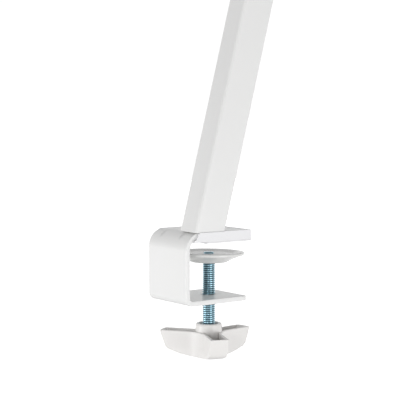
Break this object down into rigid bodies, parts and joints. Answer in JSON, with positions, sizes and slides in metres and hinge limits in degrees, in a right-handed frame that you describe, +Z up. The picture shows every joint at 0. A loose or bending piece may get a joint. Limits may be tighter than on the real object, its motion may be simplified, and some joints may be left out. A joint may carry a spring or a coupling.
{
  "type": "swing arm desk lamp",
  "caption": "Clamp-on swing arm desk lamp: C clamp with lobed screw knob, leaning lower arm, friction elbow, upper arm and a tilting, swivelling LED bar head.",
  "frame": {"origin": "on the clamp screw's axis, on the underside of the upper jaw's pad, the face that lies on the desk top", "axes": "+X from the clamp's web into the desk, +Z up, so -Y is the side that the lower arm stands at"},
  "size_m": [0.5149, 0.42, 0.4702],
  "materials": {
    "white_powder_coat": "semi-gloss powder coat",
    "white_coated_aluminium": "semi-gloss powder coat",
    "white_shoe_plastic": "satin moulded plastic",
    "pad_rubber": "smooth soft pad",
    "nylon": "natural nylon",
    "grey_disc_plastic": "semi-gloss moulded plastic",
    "zinc_steel": "blue zinc plating",
    "warm_white_plastic": "semi-gloss moulded plastic",
    "black_plastic": "moulded plastic",
    "diffuser_opal": "opal sheet",
    "board_white": "white solder mask",
    "board_green": "circuit board",
    "led_yellow": "phosphor",
    "key_grey": "satin key"
  },
  "bodies": {
    "clamp": {"c_bracket": "white_powder_coat", "upper_jaw_shoe": "white_shoe_plastic", "jaw_pad": "pad_rubber", "swivel_bush": "nylon"},
    "pressure_pad": {"pressure_disc": "grey_disc_plastic"},
    "screw": {"clamp_screw": "zinc_steel", "clamp_knob": "warm_white_plastic", "knob_cap": "warm_white_plastic"},
    "lower_arm": {"pivot_screw": "zinc_steel", "pivot_washer": "zinc_steel", "base_plug": "nylon", "plug_screws": "zinc_steel", "lower_arm_tube": "white_powder_coat", "power_inlet": "black_plastic", "inlet_nut": "zinc_steel", "lower_arm_cap": "warm_white_plastic", "lower_elbow_block": "nylon", "elbow_bolt": "zinc_steel", "elbow_washer": "nylon"},
    "upper_arm": {"upper_arm_tube": "white_powder_coat", "upper_elbow_block": "nylon", "upper_arm_cap": "warm_white_plastic", "elbow_pressure_washer": "zinc_steel", "wrist_block": "warm_white_plastic", "wrist_screws": "zinc_steel"},
    "elbow_handle": {"elbow_knob": "warm_white_plastic", "elbow_knob_nut": "zinc_steel"},
    "tilt_bracket": {"tilt_yoke": "white_powder_coat", "tilt_bolt": "zinc_steel", "tilt_washers": "nylon", "swivel_pin": "zinc_steel", "swivel_nut": "zinc_steel", "swivel_washer": "zinc_steel"},
    "tilt_handle": {"tilt_knob": "warm_white_plastic", "tilt_knob_nut": "zinc_steel"},
    "head": {"head_housing": "white_coated_aluminium", "swivel_bearing": "nylon", "head_end_cap_near": "warm_white_plastic", "head_end_cap_far": "warm_white_plastic", "end_cap_screws": "zinc_steel", "diffuser": "diffuser_opal", "led_board": "board_white", "led_chips": "led_yellow", "control_pad": "black_plastic", "control_board": "board_green", "tact_switches": "black_plastic"},
    "power_key": {"power_button": "key_grey"},
    "dimmer_key": {"dimmer_button": "key_grey"}
  },
  "joints": [
    {"name": "screw_travel", "type": "slide", "parent": "clamp", "child": "pressure_pad", "axis": [0, 0, 1], "range_m": [-0.019, 0.0069]},
    {"name": "screw_turn", "type": "hinge", "parent": "pressure_pad", "child": "screw", "pos_m": [0, 0, -0.03], "axis": [0, 0, 1], "range_deg": [-5480, 1995]},
    {"name": "base_swivel", "type": "hinge", "parent": "clamp", "child": "lower_arm", "pos_m": [-0.0137, -0.01245, 0.00665], "axis": [0, 0, 1], "range_deg": [-90, 90]},
    {"name": "elbow", "type": "hinge", "parent": "lower_arm", "child": "upper_arm", "pos_m": [0.08595, 0.00495, 0.37903], "axis": [0, 1, 0], "range_deg": [-75, 50]},
    {"name": "elbow_knob_turn", "type": "hinge", "parent": "lower_arm", "child": "elbow_handle", "pos_m": [0.08595, 0.0198, 0.37903], "axis": [0, 1, 0], "range_deg": [-90, 180]},
    {"name": "head_tilt", "type": "hinge", "parent": "upper_arm", "child": "tilt_bracket", "pos_m": [0.46595, 0.00495, 0.37903], "axis": [0, 1, 0], "range_deg": [-70, 25]},
    {"name": "tilt_knob_turn", "type": "hinge", "parent": "tilt_bracket", "child": "tilt_handle", "pos_m": [0.46595, 0.0177, 0.37903], "axis": [0, 1, 0], "range_deg": [-90, 180]},
    {"name": "head_swivel", "type": "hinge", "parent": "tilt_bracket", "child": "head", "pos_m": [0.46595, 0.00495, 0.34703], "axis": [0, 0, 1], "range_deg": [-45, 45]},
    {"name": "power_press", "type": "slide", "parent": "head", "child": "power_key", "axis": [0, 0, -1], "range_m": [0, 0.0008], "stiffness_N_per_m": 500, "springref_m": -0.001},
    {"name": "dimmer_press", "type": "slide", "parent": "head", "child": "dimmer_key", "axis": [0, 0, -1], "range_m": [0, 0.0008], "stiffness_N_per_m": 500, "springref_m": -0.001}
  ],
  "couplings": [
    {"joint": "screw_turn", "follows": "screw_travel", "rad_per_m": 5026.5}
  ]
}
